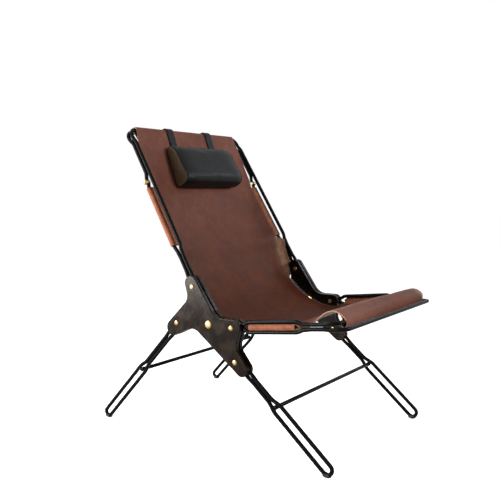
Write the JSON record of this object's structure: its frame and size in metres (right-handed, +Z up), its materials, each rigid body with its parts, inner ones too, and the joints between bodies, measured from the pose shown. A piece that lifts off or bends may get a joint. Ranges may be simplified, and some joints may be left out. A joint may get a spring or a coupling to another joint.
{
  "type": "lounge chair",
  "caption": "Sling lounge chair: leather hide slung over a reclined twin-rod steel frame with hairpin legs, walnut side plates, brass bolts and a sliding head cushion.",
  "frame": {"origin": "on the floor, under the middle of the chair's width and depth", "axes": "+Z up, the chair faces -Y, the chair's width runs along X"},
  "size_m": [0.62, 0.909, 0.9676],
  "materials": {
    "black_steel": "satin black enamel",
    "ebonised_walnut": "dark oiled walnut with a soft sheen",
    "polished_brass": "polished",
    "saddle_leather": "waxed brown hide, pale raw cut edges",
    "black_leather": "fine-grained black leather",
    "black_nylon": "matt"
  },
  "bodies": {
    "frame": {"back_front_rod": "black_steel", "back_rear_rod": "black_steel", "bolt_back_left": "polished_brass", "bolt_back_right": "polished_brass", "bolt_front_leg_left": "polished_brass", "bolt_front_leg_right": "polished_brass", "bolt_rear_leg_left": "polished_brass", "bolt_rear_leg_right": "polished_brass", "bolt_seat_left": "polished_brass", "bolt_seat_right": "polished_brass", "cross_rod_front": "black_steel", "cross_rod_rear": "black_steel", "foot_glide_front_left": "black_nylon", "foot_glide_front_right": "black_nylon", "foot_glide_rear_left": "black_nylon", "foot_glide_rear_right": "black_nylon", "head_strap_left": "black_leather", "head_strap_right": "black_leather", "hub_bolt_left": "polished_brass", "hub_bolt_right": "polished_brass", "hub_nut_left": "polished_brass", "hub_nut_right": "polished_brass", "leg_front_left": "black_steel", "leg_front_right": "black_steel", "leg_rear_left": "black_steel", "leg_rear_right": "black_steel", "nut_back_left": "polished_brass", "nut_back_right": "polished_brass", "nut_front_leg_left": "polished_brass", "nut_front_leg_right": "polished_brass", "nut_rear_leg_left": "polished_brass", "nut_rear_leg_right": "polished_brass", "nut_seat_left": "polished_brass", "nut_seat_right": "polished_brass", "plate_inner_left": "ebonised_walnut", "plate_inner_right": "ebonised_walnut", "plate_outer_left": "ebonised_walnut", "plate_outer_right": "ebonised_walnut", "seat_keeper_rod_left": "black_steel", "seat_keeper_rod_right": "black_steel", "seat_lower_rod": "black_steel", "seat_upper_rod": "black_steel", "sleeve_stud_left": "polished_brass", "sleeve_stud_right": "polished_brass", "sling": "saddle_leather", "strap_stud_left": "polished_brass", "strap_stud_right": "polished_brass"},
    "cushion": {"head_cushion": "black_leather", "cushion_loop_left": "black_leather", "cushion_loop_right": "black_leather"}
  },
  "joints": [
    {"name": "cushion_slide", "type": "slide", "parent": "frame", "child": "cushion", "axis": [0, 0.3476, 0.9376], "range_m": [-0.04, 0.03]}
  ]
}
